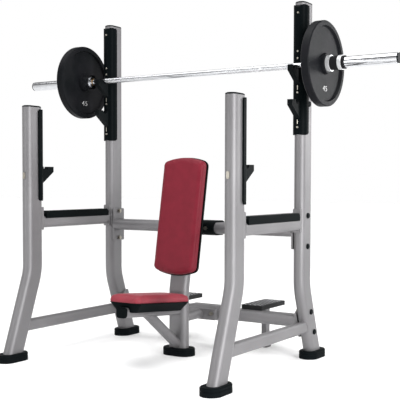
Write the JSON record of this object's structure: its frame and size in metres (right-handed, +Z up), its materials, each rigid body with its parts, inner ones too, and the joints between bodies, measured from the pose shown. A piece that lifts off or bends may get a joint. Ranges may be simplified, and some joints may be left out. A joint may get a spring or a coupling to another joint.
{
  "type": "olympic bench press",
  "caption": "Upright olympic press bench with a four-post rack, safety rails, spotter footplates and a barbell loaded with one plate on each side.",
  "frame": {"origin": "on the floor, under the centre of the whole object's box", "axes": "+X to the right as seen from the front, along the bar; +Y to the rear, where the spotter stands; +Z up"},
  "size_m": [2.2, 1.2008, 1.736],
  "materials": {
    "frame_paint": "metallic silver powder coat, satin",
    "black_plastic": "fine moulded texture, matt",
    "foot_rubber": "moulded rubber, matt",
    "hook_coating": "black urethane coat on steel",
    "zinc_steel": "zinc plated",
    "plywood": "birch plywood, raw",
    "black_board": "moulded backing board, matt",
    "seat_vinyl": "burgundy vinyl, fine grain",
    "back_vinyl": "burgundy vinyl, fine grain",
    "tread_coating": "black coated raised tread",
    "bar_chrome": "polished chrome",
    "bronze": "plain bronze bush",
    "plate_enamel": "grey-black enamel on cast iron",
    "grip_rubber": "moulded rubber grip"
  },
  "bodies": {
    "frame": {"front_left_upright": "frame_paint", "front_right_upright": "frame_paint", "rear_left_upright": "frame_paint", "rear_right_upright": "frame_paint", "tube_caps": "black_plastic", "front_feet": "foot_rubber", "rear_feet": "foot_rubber", "column_foot": "foot_rubber", "side_braces": "frame_paint", "left_safety_rail": "frame_paint", "right_safety_rail": "frame_paint", "left_rail_cover": "black_plastic", "right_rail_cover": "black_plastic", "rail_saddles": "frame_paint", "upper_crossbar": "frame_paint", "lower_crossbar": "frame_paint", "crossbar_flanges": "frame_paint", "centre_column": "frame_paint", "upper_saddle": "hook_coating", "lower_saddle": "frame_paint", "base_link": "frame_paint", "seat_tube": "frame_paint", "seat_tube_cap": "black_plastic", "seat_brace": "frame_paint", "seat_brackets": "zinc_steel", "seat_board": "plywood", "seat_shell": "black_plastic", "seat_cushion": "seat_vinyl", "back_board": "black_board", "back_cushion": "back_vinyl", "pad_bolts": "zinc_steel", "left_rack_guard": "black_plastic", "right_rack_guard": "black_plastic", "left_rack_hooks": "hook_coating", "right_rack_hooks": "hook_coating", "guard_screws": "zinc_steel", "rest_guards": "black_plastic", "rest_hooks": "hook_coating", "rest_bolts": "zinc_steel", "left_footplate": "tread_coating", "right_footplate": "tread_coating", "footplate_posts": "frame_paint", "frame_bolts": "zinc_steel", "frame_nuts": "zinc_steel", "bolt_covers": "black_plastic"},
    "bar": {"bar_shaft": "bar_chrome"},
    "left_sleeve_body": {"left_sleeve": "bar_chrome", "left_bushes": "bronze", "left_end_cap": "black_plastic"},
    "left_plate_body": {"left_plate": "plate_enamel", "left_plate_hub": "zinc_steel"},
    "left_collar_body": {"left_collar": "bar_chrome", "left_collar_grip": "grip_rubber"},
    "right_sleeve_body": {"right_sleeve": "bar_chrome", "right_bushes": "bronze", "right_end_cap": "black_plastic"},
    "right_plate_body": {"right_plate": "plate_enamel", "right_plate_hub": "zinc_steel"},
    "right_collar_body": {"right_collar": "bar_chrome", "right_collar_grip": "grip_rubber"}
  },
  "joints": [
    {"name": "bar_lift", "type": "slide", "parent": "frame", "child": "bar", "axis": [0, 0, 1], "range_m": [0, 0.56]},
    {"name": "left_sleeve_spin", "type": "hinge", "parent": "bar", "child": "left_sleeve_body", "pos_m": [-0.657, 0.1845, 1.424], "axis": [1, 0, 0], "continuous": true},
    {"name": "left_plate_slide", "type": "slide", "parent": "left_sleeve_body", "child": "left_plate_body", "axis": [-1, 0, 0], "range_m": [0, 0.42]},
    {"name": "left_collar_slide", "type": "slide", "parent": "left_plate_body", "child": "left_collar_body", "axis": [-1, 0, 0], "range_m": [0, 0.36]},
    {"name": "right_sleeve_spin", "type": "hinge", "parent": "bar", "child": "right_sleeve_body", "pos_m": [0.657, 0.1845, 1.424], "axis": [1, 0, 0], "continuous": true},
    {"name": "right_plate_slide", "type": "slide", "parent": "right_sleeve_body", "child": "right_plate_body", "axis": [1, 0, 0], "range_m": [0, 0.42]},
    {"name": "right_collar_slide", "type": "slide", "parent": "right_plate_body", "child": "right_collar_body", "axis": [1, 0, 0], "range_m": [0, 0.36]}
  ]
}
